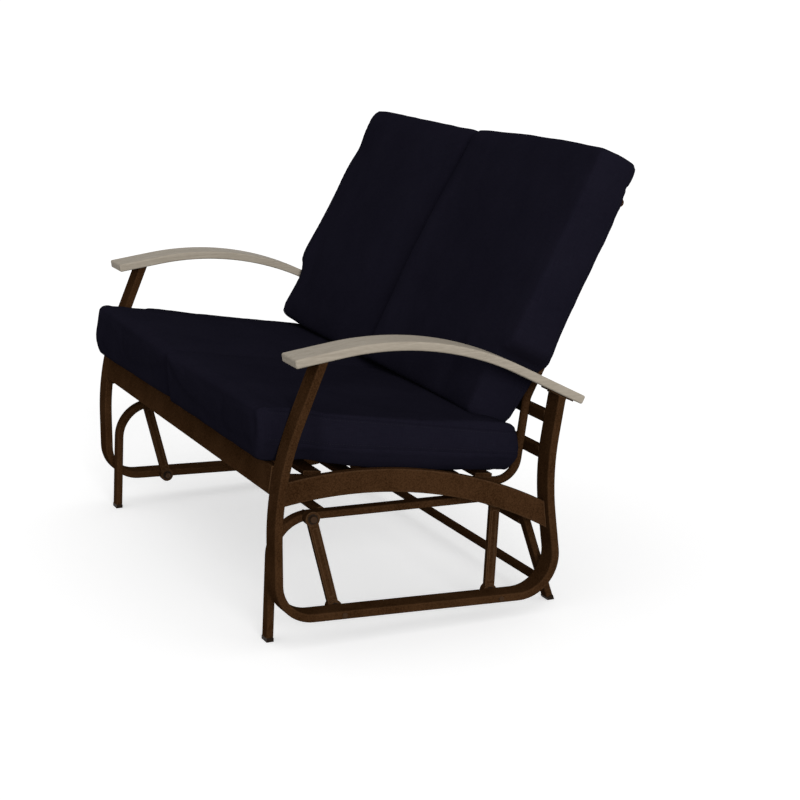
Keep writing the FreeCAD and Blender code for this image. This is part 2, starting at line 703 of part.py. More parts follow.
arm_plates = []
arm_screws = []
leg_trims = {}
for side_name, side in SIDES:
    corners, radii = bar_outline(arm_line, [size("arm_bend_radius")], 0, size("arm_thick"), size("arm_round"))
    inner = low_x(side, arm_inner_x, arm_outer_x)
    curves = loop_curves(corners, radii)
    board = rounded_body("arm_board_" + side_name, curves, "arm_wide", "arm_round", inner)
    pilot_holes = []
    leg_trims[side_name] = []
    middle_x = side * side_middle_x
    for end_name, point, fall in leg_meets:
        label = "%s_%s" % (end_name, side_name)
        up = left_of(fall)
        lean = slope_of(fall)
        plate_point = along(point, up, -size("plate_thick") / 2)
        plate = centred_box("plate_blank_" + label, "sizes.plate_wide", "sizes.plate_long",
                            "sizes.plate_thick", middle_x, plate_point, lean)
        trim_point = along(point, up, -size("plate_thick") + 2 * size("arm_thick"))
        trim = centred_box("leg_trim_" + label, "2 * sizes.side_bar_wide", "4 * sizes.plate_long",
                           "4 * sizes.arm_thick", middle_x, trim_point, lean)
        leg_trims[side_name].append(trim)
        plate_holes = []
        for number, step in enumerate((-1, 1), start=1):
            screw_name = "%s_%d" % (label, number)
            foot = along(along(point, fall, step * size("screw_spacing") / 2), up, -size("plate_thick"))
            upright_turn = tilt(lean)
            shank = doc.addObject("Part::Cylinder", "screw_shank_" + screw_name)
            shank.setExpression("Radius", "sizes.screw_across / 2")
            shank.setExpression("Height", "sizes.screw_long")
            shank.Placement = Placement(spot(middle_x, foot), upright_turn)
            head = doc.addObject("Part::Cylinder", "screw_head_" + screw_name)
            head.setExpression("Radius", "sizes.screw_head_across / 2")
            head.setExpression("Height", "sizes.screw_head_thick")
            head_foot = along(foot, up, -size("screw_head_thick"))
            head.Placement = Placement(spot(middle_x, head_foot), upright_turn)
            arm_screws.append(fuse("arm_screw_" + screw_name, [shank, head]))
            hole = doc.addObject("Part::Cylinder", "screw_hole_" + screw_name)
            hole.setExpression("Radius", "sizes.screw_across / 2 + sizes.fit_gap")
            hole.setExpression("Height", "sizes.screw_long + 2 * sizes.fit_gap")
            hole.Placement = Placement(spot(middle_x, along(foot, up, -size("fit_gap"))), upright_turn)
            pilot_holes.append(hole)
            plate_holes.append(hole)
        arm_plates.append(cut("arm_plate_" + label, plate, plate_holes))
    sub_part(cut("arm_cut_" + side_name, board, pilot_holes), "armrest_" + side_name)
group("arm_plates", arm_plates)
group("arm_screws", arm_screws)

# Seat side frames and their arched rails

half_side = size("side_bar_thick") / 2
arch_centre = (size("arch_peak_y"), size("arch_peak_z") - size("arch_radius"))


def arch_point(radius, depth):
    return (depth, arch_centre[1] + math.sqrt(radius ** 2 - (depth - arch_centre[0]) ** 2))


def arch_end(radius, leg, inward):
    """Where an edge of the arched rail meets the face of a leg."""
    reach = inward * (half_side + size("weld_gap"))
    point = (leg(size("arch_peak_z")), 0)
    for step in range(20):
        point = arch_point(radius, leg(point[1]) + reach) if step else arch_point(radius, point[0])
    return point


for side_name, side in SIDES:
    corners, radii = bar_outline(side_line, side_radii, half_side, half_side, 0)
    inner = low_x(side, side_inner_x, side_outer_x)
    curves = loop_curves(corners, radii)
    bar = rounded_body("side_bar_" + side_name, curves, "side_bar_wide", "side_bar_round", inner)
    holes = list(leg_trims[side_name])
    for pivot_name, point in (("front", front_low_pivot), ("rear", rear_low_pivot)):
        label = "side_hole_%s_%s" % (pivot_name, side_name)
        holes.append(cylinder_across(label, bolt_hole, "sizes.side_bar_wide", inner, point))
    frame = sub_part(cut("side_cut_" + side_name, bar, holes), "side_frame_" + side_name)

    curves = []
    ends = []
    for radius in (size("arch_radius") + size("arch_tall") / 2, size("arch_radius") - size("arch_tall") / 2):
        front_end = arch_end(radius, front_leg_y, 1)
        rear_end = arch_end(radius, rear_leg_y, -1)
        middle = arch_point(radius, (front_end[0] + rear_end[0]) / 2)
        curves.append(Part.Arc(Vector(*front_end, 0), Vector(*middle, 0), Vector(*rear_end, 0)))
        ends.append((front_end, rear_end))
    for over, under in zip(*ends):
        curves.append(Part.LineSegment(Vector(*over, 0), Vector(*under, 0)))
    arch_inner = side_middle_x - size("arch_thick") / 2
    arch_x = low_x(side, arch_inner, arch_inner + size("arch_thick"))
    arch = chamfered_body("arch_bar_" + side_name, curves, "arch_thick", "arch_chamfer", arch_x,
                          2 * size("arch_tall"))
    sub_part(arch, "side_arch_" + side_name)

# Rails between the side frames

front_rail_centre = (size("front_rail_y"), size("front_rail_z"))
front_rail_box = centred_box("front_rail_box", rail_long, "sizes.front_rail_thick",
                             "sizes.front_rail_tall", 0, front_rail_centre, -size("front_rail_tilt"))
front_rail = sub_part(long_rounding("front_rail_bar", front_rail_box, "front_rail_round"), "front_rail")
for level in ("upper", "lower"):
    height = size("back_rail_%s_z" % level)
    rail_box = centred_box("back_rail_box_" + level, rail_long, "sizes.back_rail_thick",
                           "sizes.back_rail_tall", 0, (rear_leg_y(height), height), 0)
    sub_part(long_rounding("back_rail_bar_" + level, rail_box, "back_rail_round"), "back_rail_" + level)

# Bent tubes that carry the seat and the back, and the tube across their top

top_tube = cylinder_across("back_top_tube_rod", "sizes.seat_tube_across", top_tube_long,
                           -seat_tube_x - tube_radius, back_top)
sub_part(top_tube, "back_top_tube")
deck_start = on_line(deck_first, along(deck_first, deck_direction, 1), size("front_rail_y"))
bend_points = [deck_start, deck_corner, back_bend, back_top]
bend_radii = [size("deck_bend_radius"), size("back_bend_radius")]


def bent_tube(name, x):
    """A round tube along the bend points, piped in its own upright frame."""
    turn = tilt(-size("deck_rake"))
    body = doc.addObject("PartDesign::Body", name)
    path = body.newObject("Sketcher::SketchObject", name + "_path")
    path.AttachmentSupport = (origin_plane(body, "YZ_Plane"), [""])
    path.MapMode = "FlatFace"
    back = turn.inverted()
    local = []
    for point in bend_points:
        moved = back.multVec(Vector(0, point[0] - deck_start[0], point[1] - deck_start[1]))
        local.append((moved.y, moved.z))
    at = local[0]
    for i, radius in enumerate(bend_radii, start=1):
        start, middle, end, centre = fillet(local[i - 1], local[i], local[i + 1], radius)
        path.addGeometry(Part.LineSegment(Vector(*at, 0), Vector(*start, 0)), False)
        path.addGeometry(Part.Arc(Vector(*start, 0), Vector(*middle, 0), Vector(*end, 0)), False)
        at = end
    path.addGeometry(Part.LineSegment(Vector(*at, 0), Vector(*local[-1], 0)), False)
    section = body.newObject("Sketcher::SketchObject", name + "_section")
    section.AttachmentSupport = (origin_plane(body, "XZ_Plane"), [""])
    section.MapMode = "FlatFace"
    section.addGeometry(Part.Circle(Vector(0, 0, 0), Vector(0, 0, 1), tube_radius), False)
    pipe = body.newObject("PartDesign::AdditivePipe", name + "_pipe")
    pipe.Profile = section
    pipe.Spine = (path, ["Edge%d" % number for number in range(1, 2 * len(bend_radii) + 2)])
    body.Tip = pipe
    body.Placement = Placement(spot(x, deck_start), turn)
    doc.recompute()
    return body


for side_name, side in SIDES:
    tube = bent_tube("bent_tube_" + side_name, side * seat_tube_x)
    sub_part(cut("bent_tube_cut_" + side_name, tube, [front_rail, top_tube]), "seat_back_tube_" + side_name)

# Slats across the seat and the back

slat_lift = tube_radius + size("slat_thick") / 2
for number in range(int(size("seat_slats"))):
    slat_y = size("deck_y") + number * size("slat_pitch")
    on_tube = on_line(deck_first, along(deck_first, deck_direction, 1), slat_y)
    slat_box = centred_box("seat_slat_box_%d" % (number + 1), slat_long, "sizes.slat_wide",
                           "sizes.slat_thick", 0, along(on_tube, deck_up, slat_lift), -size("deck_rake"))
    slat = long_rounding("seat_slat_bar_%d" % (number + 1), slat_box, "slat_round")
    sub_part(slat, "seat_slat_%d" % (number + 1))
for number in range(int(size("back_slats"))):
    on_tube = along(back_bend, back_up, size("back_slat_first") + number * size("back_slat_pitch"))
    slat_box = centred_box("back_slat_box_%d" % (number + 1), slat_long, "sizes.slat_thick",
                           "sizes.slat_wide", 0, along(on_tube, back_front, slat_lift), -size("back_lean"))
    slat = long_rounding("back_slat_bar_%d" % (number + 1), slat_box, "slat_round")
    sub_part(slat, "back_slat_%d" % (number + 1))

# Cushions, lofted through sections of four arcs


def bowed_section(corners, bows):
    """A closed section of four arcs: each joins two corners and bows out."""
    edges = []
    for i, bow in enumerate(bows):
        start = corners[i]
        end = corners[(i + 1) % 4]
        middle = (start + end) * 0.5 + bow
        edges.append(Part.Arc(start, middle, end).toShape())
    return Part.Wire(edges)


def cushion(label, wires, side):
    shape = Part.makeLoft(wires, True, True)
    if side < 0:
        shape = shape.mirror(Vector(0, 0, 0), Vector(1, 0, 0))
    pad = doc.addObject("Part::Feature", label)
    pad.Shape = shape
    return sub_part(pad, label)


def end_rounding(place, length):
    """How far a cushion draws in near its two ends: 1 at an end, then 0."""
    reach = size("pad_end_reach")
    inward = min(place, length - place, reach) / reach
    return 1 - math.sqrt(1 - (1 - inward) ** 2)


def swell(place, length):
    """Share of the full crown at a place between a cushion's two ends."""
    return max(math.sin(math.pi * place / length), 0) ** 0.5


def ease(place, start, end):
    """A smooth step from 0 before start to 1 after end."""
    share = min(max((place - start) / (end - start), 0), 1)
    return share * share * (3 - 2 * share)


def station_places(length, widen_from):
    """Places of a cushion's sections: close at its ends and where it widens."""
    reach = size("pad_end_reach")
    near = [reach * share for share in (0, 0.06, 0.22, 0.5, 1)]
    widening = [widen_from + size("pad_widen_reach") * share for share in (0, 0.3, 0.7, 1)]
    spans = int(size("pad_spans"))
    last = length - reach
    between = [widening[-1] + (last - widening[-1]) * i / spans for i in range(1, spans)]
    return near + widening + between + [length - place for place in near[::-1]]


def seat_pad_low(depth):
    return size("seat_pad_low_front_z") - size("seat_pad_low_fall") * depth


def seat_pad_top(depth):
    return size("seat_pad_top_front_z") - size("seat_pad_top_fall") * depth


def slat_top(depth):
    """Height of the seat slats' upper plane."""
    on_top = along(deck_first, deck_up, tube_radius + size("slat_thick"))
    return on_line(on_top, along(on_top, deck_direction, 1), depth)[1]


bulge = size("pad_side_bulge")
inner_bulge = bulge * 0.6
inner_x = size("cushion_gap") + inner_bulge
seat_length = size("seat_pad_rear_y") - size("seat_pad_front_y")


def seat_pad_section(place):
    """A seat cushion's section at a distance behind its front."""
    depth = size("seat_pad_front_y") + place
    inset = size("pad_end_inset") * end_rounding(place, seat_length)
    widening = ease(depth, size("seat_pad_widen_y"), size("seat_pad_widen_y") + size("pad_widen_reach"))
    outer = side_inner_x - size("seat_pad_leg_gap") + size("seat_pad_widening") * widening
    low = seat_pad_low(depth) + inset * 0.7
    top = seat_pad_top(depth) - inset * 1.3
    on_slats = ease(depth, size("seat_pad_rest_y"), size("deck_y"))
    sag = max(seat_pad_low(depth) - slat_top(depth) - size("cushion_gap"), 0) * on_slats
    sag = max(sag * swell(place, seat_length), 0.5)
    crown = max(size("seat_pad_crown") * swell(place, seat_length), 0.5)
    edge = outer - bulge - inset
    row_y = depth - middle_y
    corners = [
        Vector(inner_x + inset, row_y, low),
        Vector(edge - bulge, row_y, low),
        Vector(edge, row_y, top),
        Vector(inner_x + inset, row_y, top),
    ]
    bows = [Vector(0, 0, -sag), Vector(bulge * 1.5, 0, 0), Vector(0, 0, crown), Vector(-inner_bulge, 0, 0)]
    return bowed_section(corners, bows)


slat_face = along(back_bend, back_front, tube_radius + size("slat_thick"))
pad_foot = at_height(slat_face, along(slat_face, back_up, 1), size("back_pad_low_z"))
pad_start = along(pad_foot, back_up, -size("back_pad_thick") * math.sin(back_lean))
arm_top = meet(pad_start, back_up, arm_line[1], rear_fall)
arm_top_place = (arm_top[0] - pad_start[0]) / back_up[0] + size("cushion_gap")


def back_pad_section(place):
    """A back cushion's section square to its lean, place up from its foot."""
    length = size("back_pad_tall")
    inset = size("pad_end_inset") * end_rounding(place, length)
    widening = ease(place, arm_top_place, arm_top_place + size("pad_widen_reach"))
    outer = arm_inner_x - size("back_pad_arm_gap") + size("back_pad_widening") * widening
    rear_corner = size("cushion_gap") + size("back_pad_rear_crown") + inset
    front_corner = rear_corner + size("back_pad_thick") - 2 * inset
    base = along(pad_start, back_up, place)
    behind = along(base, back_front, rear_corner)
    ahead = along(base, back_front, front_corner)
    edge = outer - bulge - inset
    forward = Vector(0, back_front[0], back_front[1])
    corners = [
        spot(inner_x + inset, behind),
        spot(edge, behind),
        spot(edge, ahead),
        spot(inner_x + inset, ahead),
    ]
    rear_bow = max(size("back_pad_rear_crown") * swell(place, length), 0.5)
    front_bow = max(size("back_pad_front_crown") * swell(place, length), 0.5)
    bows = [forward * -rear_bow, Vector(bulge, 0, 0), forward * front_bow, Vector(-inner_bulge, 0, 0)]
    return bowed_section(corners, bows)


seat_places = station_places(seat_length, size("seat_pad_widen_y") - size("seat_pad_front_y"))
back_places = station_places(size("back_pad_tall"), arm_top_place)
for side_name, side in SIDES:
    cushion("seat_cushion_" + side_name, [seat_pad_section(place) for place in seat_places], side)
    cushion("back_cushion_" + side_name, [back_pad_section(place) for place in back_places], side)

# Checks and export

doc.recompute()
for obj in doc.Objects:
    if "Invalid" in obj.State or "Error" in obj.State:
        raise RuntimeError("%s failed: %s" % (obj.Label, obj.State))
for obj in sub_parts:
    if obj.Shape.isNull() or not obj.Shape.isValid() or not obj.Shape.Solids:
        raise RuntimeError("%s has no valid solid" % obj.Label)

print("middle of the depth from the toe: %.3f mm" % middle_y)
for name, point in (("front pivot", front_pivot), ("rear pivot", rear_pivot),
                    ("front low pivot", front_low_pivot), ("rear low pivot", rear_low_pivot)):
    print("%s: Y %.3f Z %.3f mm" % (name, point[0] - middle_y, point[1]))

os.makedirs("parts", exist_ok=True)
for obj in sub_parts:
    obj.Shape.exportStep("parts/%s.step" % obj.Label)
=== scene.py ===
import math

import bpy
import numpy as np
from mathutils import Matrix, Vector, noise
from mathutils.bvhtree import BVHTree
from mathutils.kdtree import KDTree


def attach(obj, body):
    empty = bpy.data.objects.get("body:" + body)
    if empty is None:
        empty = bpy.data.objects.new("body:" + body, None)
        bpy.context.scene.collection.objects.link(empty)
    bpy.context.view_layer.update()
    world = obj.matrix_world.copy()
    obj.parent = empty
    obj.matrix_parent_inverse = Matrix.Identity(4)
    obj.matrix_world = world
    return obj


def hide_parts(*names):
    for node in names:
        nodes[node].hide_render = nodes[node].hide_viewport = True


# Looks of the glider bench: finishes for its painted frame, boards and
# fasteners, sewn cushions in place of the plain ones, and a pale studio.
# Lengths are in metres. X runs across the bench, its front faces -Y.

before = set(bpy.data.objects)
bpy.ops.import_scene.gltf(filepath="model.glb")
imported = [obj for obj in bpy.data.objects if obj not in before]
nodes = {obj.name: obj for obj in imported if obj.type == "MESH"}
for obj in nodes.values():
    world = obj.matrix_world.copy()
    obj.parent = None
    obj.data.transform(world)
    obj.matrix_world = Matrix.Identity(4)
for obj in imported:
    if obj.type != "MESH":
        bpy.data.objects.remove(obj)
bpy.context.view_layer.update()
bpy.ops.object.select_all(action="DESELECT")
SIDES = ("right", "left")

# Farther than any point of the bench, for a seam without an end or a move that doesn't fade

FAR = 9.0

# The cushions' lie and their seams, as in the solids

BACK_LEAN = math.radians(27.6)
SEAT_TOP_SLOPE = math.atan(0.1783)
SEAT_LOW_SLOPE = math.atan(0.1473)
SEAT_TOP_SEAM = (-0.3416, 0.4915)
SEAT_LOW_SEAM = (-0.3526, 0.4310)
SEAT_SEAM_END = -0.41
SEAM_FADE = 0.03
BACK_FRONT_SEAM = 0.1566
BACK_REAR_SEAM = 0.0646
BETWEEN_ARMS = 0.5585
INSIDE_SOLID = 0.0002

# Filling of the covers: the cloth is let in by a drop or a slack, blown up, and then each
# point's move out (puff), in and along the cover is held to about these lengths

SOLID_MERGE = 0.0001
COVER_VOXEL = 0.0075
SEAM_DROP = 0.0005
BAND_DROP = 0.001
SEAT_SLACK = 0.012
BACK_SLACK = 0.014
SLACK_REACH = 0.07
FRONT_ROLL = 0.12
FILL_PRESSURE = 4.0
FILL_STEPS = 20
SEAT_PUFF = 0.016
BACK_PUFF = 0.018
PULL_IN = 0.003
SLIDE = 0.003
EDGE_EASE = 0.04
EDGE_EASE_ROUNDS = 10

# Unevenness of a used cushion: waves per metre and heights

BROAD_WAVES = 7
BROAD_DENT = 0.003
SMALL_WAVES = 19
SMALL_DENT = 0.0012
PUCKER_WAVES = 55
PUCKER_DENT = 0.0018
PUCKER_REACH = 0.016
SEED_STEP = Vector((3.1, 1.7, 5.3))

# Seams and stitches

LINE_MERGE = 0.0012
SEAM_DEPTH = 0.0014
SEAM_REACH = 0.0045
SEAM_BEAD = 0.0012
STITCH_LONG = 0.0042
STITCH_THICK = 0.0008
STITCH_PITCH = 0.0062
STITCH_BESIDE_SEAM = 0.005
STRIP_REACH = STITCH_BESIDE_SEAM * 2.5

# Colours, wear, and highlights painted on rounded edges

# Gain of the edge mask, which paints wear and a highlight on rounded edges
EDGE_WEAR_AND_HIGHLIGHT_GAIN = 9.0
PAINT_DARK = (0.021, 0.0086, 0.0029, 1)
PAINT_LIGHT = (0.060, 0.0280, 0.0118, 1)
# Rubbed colour: edge wear and a painted highlight on the frame's rounded edges
PAINT_RUBBED_AND_LIT = (0.095, 0.052, 0.026, 1)
BOARD_DARK = (0.300, 0.260, 0.208, 1)
BOARD_LIGHT = (0.410, 0.362, 0.294, 1)
# Board's rubbed colour: edge wear and a painted highlight on rounded edges
BOARD_RUBBED_AND_LIT = (0.50, 0.455, 0.385, 1)
YARN_DARK = (0.0054, 0.0048, 0.0096, 1)
YARN_LIGHT = (0.0106, 0.0096, 0.0172, 1)
YARN_RAISED = (0.0130, 0.0120, 0.0200, 1)
CLOTH_SHEEN = (0.55, 0.55, 0.8, 1)
THREAD_DARK = (0.011, 0.0105, 0.016, 1)
THREAD_LIGHT = (0.023, 0.0225, 0.030, 1)
PLASTIC_DARK = (0.0085, 0.0048, 0.0028, 1)
PLASTIC_LIGHT = (0.020, 0.0115, 0.0066, 1)
PLASTIC_SCUFFED = (0.055, 0.036, 0.024, 1)
PLATING_DARK = (0.026, 0.0125, 0.0055, 1)
PLATING_LIGHT = (0.058, 0.030, 0.015, 1)
PLATING_WORN = (0.13, 0.085, 0.052, 1)
FLOOR_SEEN = (0.8, 0.8, 0.8, 1)
FLOOR_BOUNCE = (0.35, 0.35, 0.35, 1)
FLOOR_LIFT = 0.50
WHITE = (1, 1, 1, 1)


# Small helpers for objects and modes


def only(piece):
    """Selects one object and makes it the active one."""
    bpy.ops.object.select_all(action="DESELECT")
    piece.select_set(True)
    bpy.context.view_layer.objects.active = piece


def copy_of(source, name):
    """An object of the same place with a mesh of its own."""
    piece = bpy.data.objects.new(name, source.data.copy())
    piece.data.name = name
    bpy.context.scene.collection.objects.link(piece)
    only(piece)
    return piece


def apply_modifier(piece, kind, **settings):
    """Adds a modifier with its settings and applies it."""
    only(piece)
    modifier = piece.modifiers.new(kind.lower(), kind)
    for key, value in settings.items():
        setattr(modifier, key, value)
    bpy.ops.object.modifier_apply(modifier=modifier.name)


def points_of(mesh):
    flat = np.empty(len(mesh.vertices) * 3)
    mesh.vertices.foreach_get("co", flat)
    return flat.reshape(-1, 3)


def normals_of(mesh):
    flat = np.empty(len(mesh.vertices) * 3)
    mesh.vertices.foreach_get("normal", flat)
    return flat.reshape(-1, 3)


def set_points(mesh, points):
    mesh.vertices.foreach_set("co", points.ravel())
    mesh.update()


def smooth_step(share):
    share = np.clip(share, 0, 1)
    return share * share * (3 - 2 * share)


# Shader helpers


def add_node(tree, kind, **settings):
    node = tree.nodes.new(kind)
    for key, value in settings.items():
        setattr(node, key, value)
    return node


def feed(tree, socket, value):
    """Links a socket, or sets the number or colour on it."""
    if isinstance(value, bpy.types.NodeSocket):
        tree.links.new(value, socket)
    else:
        socket.default_value = value


def calc(tree, operation, *values, clamp=False):
    node = add_node(tree, "ShaderNodeMath", operation=operation, use_clamp=clamp)
    for socket, value in zip(node.inputs, values):
        feed(tree, socket, value)
    return node.outputs[0]


def rescale(tree, value, low, high, to_low, to_high):
    node = add_node(tree, "ShaderNodeMapRange")
    feed(tree, node.inputs["Value"], value)
    for name, number in (("From Min", low), ("From Max", high), ("To Min", to_low), ("To Max", to_high)):
        node.inputs[name].default_value = number
    return node.outputs["Result"]


def mix_colour(tree, share, first, second):
    node = add_node(tree, "ShaderNodeMix", data_type="RGBA")
    feed(tree, node.inputs["Factor"], share)
    feed(tree, node.inputs[6], first)
    feed(tree, node.inputs[7], second)
    return node.outputs[2]


def speckle(tree, vector, scale, detail=2.0, roughness=0.5):
    node = add_node(tree, "ShaderNodeTexNoise")
    feed(tree, node.inputs["Vector"], vector)
    node.inputs["Scale"].default_value = scale
    node.inputs["Detail"].default_value = detail
    node.inputs["Roughness"].default_value = roughness
    return node.outputs["Fac"]


def object_place(tree):
    return add_node(tree, "ShaderNodeTexCoord").outputs["Object"]


def shader_group(name, inputs, outputs):
    group = bpy.data.node_groups.new(name, "ShaderNodeTree")
    for label, kind, value in inputs:
        socket = group.interface.new_socket(name=label, in_out="INPUT", socket_type=kind)
        if value is not None:
            socket.default_value = value
    for label, kind in outputs:
        group.interface.new_socket(name=label, in_out="OUTPUT", socket_type=kind)
    return group, group.nodes.new("NodeGroupInput").outputs, group.nodes.new("NodeGroupOutput").inputs


NUMBER = "NodeSocketFloat"
VECTOR = "NodeSocketVector"


def edge_wear_group():
    """Mask that is 1 on outer edges, broken up so that it is uneven. It paints rubbed wear, and on the frame
    and boards also a painted highlight along their rounded edges.
    """
    group, given, result = shader_group(
        "edge_wear_and_highlight", [("Radius", NUMBER, 0.002), ("Amount", NUMBER, 1.0)], [("Mask", NUMBER)])
    rounded = add_node(group, "ShaderNodeBevel", samples=6)
    feed(group, rounded.inputs["Radius"], given["Radius"])
    flat = add_node(group, "ShaderNodeNewGeometry")
    facing = add_node(group, "ShaderNodeVectorMath", operation="DOT_PRODUCT")
    feed(group, facing.inputs[0], rounded.outputs["Normal"])
    feed(group, facing.inputs[1], flat.outputs["Normal"])
    turned = calc(group, "SUBTRACT", 1.0, facing.outputs["Value"])
    uneven = speckle(group, object_place(group), scale=55, detail=3)
    patches = rescale(group, uneven, 0.3, 0.7, 0.35, 1.0)
    worn = calc(group, "MULTIPLY", calc(group, "MULTIPLY", turned, EDGE_WEAR_AND_HIGHLIGHT_GAIN), patches)
    feed(group, result["Mask"], calc(group, "MULTIPLY", worn, given["Amount"], clamp=True))
    return group


def coat_grain_group():
    """Fine orange-peel of a textured powder coat, and its tone."""
    group, given, result = shader_group(
        "coat_grain", [("Grain", NUMBER, 900.0)], [("Height", NUMBER), ("Tone", NUMBER)])
    place = object_place(group)
    fine = add_node(group, "ShaderNodeTexNoise")
    feed(group, fine.inputs["Vector"], place)
    feed(group, fine.inputs["Scale"], given["Grain"])
    fine.inputs["Detail"].default_value = 3.0
    pits = add_node(group, "ShaderNodeTexVoronoi")
    feed(group, pits.inputs["Vector"], place)
    feed(group, pits.inputs["Scale"], given["Grain"])
    height = calc(group, "ADD", calc(group, "MULTIPLY", fine.outputs["Fac"], 0.65),
                  calc(group, "MULTIPLY", pits.outputs["Distance"], 0.35))
    feed(group, result["Height"], height)
    mottle = speckle(group, place, scale=330, detail=2, roughness=0.6)
    broad = speckle(group, place, scale=14, detail=3)
    tone = calc(group, "MULTIPLY_ADD", mottle, 0.5, calc(group, "MULTIPLY", height, 0.25))
    feed(group, result["Tone"], calc(group, "MULTIPLY_ADD", broad, 0.25, tone))
    return group


def weave_group():
    """Plain weave on any face: threads run along the two axes of the face."""
    group, given, result = shader_group(
        "plain_weave", [("Place", VECTOR, None), ("Facing", VECTOR, None), ("Pitch", NUMBER, 0.0011)],
        [("Height", NUMBER), ("Tone", NUMBER)])
    place = add_node(group, "ShaderNodeSeparateXYZ")
    feed(group, place.inputs[0], given["Place"])
    facing = add_node(group, "ShaderNodeSeparateXYZ")
    feed(group, facing.inputs[0], given["Facing"])
    across, deep, tall = (calc(group, "ABSOLUTE", facing.outputs[i]) for i in range(3))
    on_side = calc(group, "GREATER_THAN", across, calc(group, "MAXIMUM", deep, tall))
    on_top = calc(group, "GREATER_THAN", tall, calc(group, "MAXIMUM", across, deep))

    def either(share, first, second):
        kept = calc(group, "MULTIPLY", first, calc(group, "SUBTRACT", 1.0, share))
        return calc(group, "MULTIPLY_ADD", second, share, kept)

    warp_place = either(on_side, place.outputs[0], place.outputs[1])
    weft_place = either(on_top, place.outputs[2], place.outputs[1])
    warp_place = calc(group, "DIVIDE", warp_place, given["Pitch"])
    weft_place = calc(group, "DIVIDE", weft_place, given["Pitch"])
    warp = calc(group, "SINE", calc(group, "MULTIPLY", warp_place, math.pi))
    weft = calc(group, "SINE", calc(group, "MULTIPLY", weft_place, math.pi))
    over = calc(group, "MULTIPLY", warp, weft)
    feed(group, result["Height"], calc(group, "MULTIPLY_ADD", over, 0.5, 0.5))

    def slubs(first, second, stretch):
        joined = add_node(group, "ShaderNodeCombineXYZ")
        feed(group, joined.inputs[0], calc(group, "MULTIPLY", first, stretch))
        feed(group, joined.inputs[1], second)
        return speckle(group, joined.outputs[0], scale=1.0, detail=1.0)

    yarn = calc(group, "ADD", slubs(warp_place, weft_place, 0.04), slubs(weft_place, warp_place, 0.04))
    cloudy = speckle(group, given["Place"], scale=9, detail=3)
    tone = calc(group, "MULTIPLY_ADD", yarn, 0.35, calc(group, "MULTIPLY", cloudy, 0.3))
    feed(group, result["Tone"], tone)
    return group


def board_grain_group():
    """Faint lengthwise streaks pressed into the armrest boards."""
    group, given, result = shader_group(
        "board_grain", [("Place", VECTOR, None)], [("Height", NUMBER), ("Tone", NUMBER)])
    lengthwise = add_node(group, "ShaderNodeMapping")
    feed(group, lengthwise.inputs["Vector"], given["Place"])
    lengthwise.inputs["Scale"].default_value = (240, 9, 240)
    streaks = speckle(group, lengthwise.outputs[0], scale=1.0, detail=5.0, roughness=0.65)
    pores = add_node(group, "ShaderNodeMapping")
    feed(group, pores.inputs["Vector"], given["Place"])
    pores.inputs["Scale"].default_value = (900, 60, 900)
    fine = speckle(group, pores.outputs[0], scale=1.0, detail=2.0)
    height = calc(group, "MULTIPLY_ADD", streaks, 0.6, calc(group, "MULTIPLY", fine, 0.4))
    feed(group, result["Height"], height)
    feed(group, result["Tone"], rescale(group, height, 0.35, 0.65, 0.0, 1.0))
    return group


edge_wear_and_highlight = edge_wear_group()
coat_grain = coat_grain_group()
plain_weave = weave_group()
board_grain = board_grain_group()


def placed(tree, group, **inputs):
    """Puts a node group into a material, with its own values."""
    node = add_node(tree, "ShaderNodeGroup", node_tree=group)
    for name, value in inputs.items():
        feed(tree, node.inputs[name], value)
    return node.outputs


def bumped(tree, height, strength, distance):
    node = add_node(tree, "ShaderNodeBump")
    node.inputs["Strength"].default_value = strength
    node.inputs["Distance"].default_value = distance
    feed(tree, node.inputs["Height"], height)
    return node.outputs["Normal"]


def new_material(name):
    material = bpy.data.materials.new(name)
    material.use_nodes = True
    tree = material.node_tree
    return material, tree, tree.nodes["Principled BSDF"].inputs


# Materials


def painted_frame():
    """Dark brown textured powder coat, lighter at its edges with rubbed wear and a painted highlight along
    the rounded edges.
    """
    material, tree, skin = new_material("brown_powder_coat")
    grain = placed(tree, coat_grain, Grain=1000.0)
    wear_and_highlight = placed(tree, edge_wear_and_highlight, Radius=0.004, Amount=0.8)
    tone = rescale(tree, grain["Tone"], 0.38, 0.6, 0.0, 1.0)
    brown = mix_colour(tree, tone, PAINT_DARK, PAINT_LIGHT)
    # Lighter edges: rubbed wear and a painted highlight, in place of a shine, as the coat has no specular
    rubbed_and_lit = mix_colour(tree, wear_and_highlight["Mask"], brown, PAINT_RUBBED_AND_LIT)
    feed(tree, skin["Base Color"], rubbed_and_lit)
    feed(tree, skin["Roughness"], rescale(tree, grain["Tone"], 0.3, 0.7, 0.42, 0.56))
    feed(tree, skin["Normal"], bumped(tree, grain["Height"], strength=0.35, distance=0.0003))
    skin["Specular IOR Level"].default_value = 0.0
    return material


def arm_board():
    """Matte taupe board with a faint lengthwise grain, its edges lighter with rubbed wear and a painted
    highlight.
    """
    material, tree, skin = new_material("taupe_board")
    grain = placed(tree, board_grain, Place=object_place(tree))
    wear_and_highlight = placed(tree, edge_wear_and_highlight, Radius=0.004, Amount=0.35)
    taupe = mix_colour(tree, grain["Tone"], BOARD_DARK, BOARD_LIGHT)
    # Lighter edges: rubbed wear and a painted highlight on the rounded edges
    light = mix_colour(tree, wear_and_highlight["Mask"], taupe, BOARD_RUBBED_AND_LIT)
    feed(tree, skin["Base Color"], light)
    feed(tree, skin["Roughness"], rescale(tree, grain["Tone"], 0.0, 1.0, 0.62, 0.5))
    feed(tree, skin["Normal"], bumped(tree, grain["Height"], strength=0.3, distance=0.0003))
    skin["Specular IOR Level"].default_value = 0.08
    return material


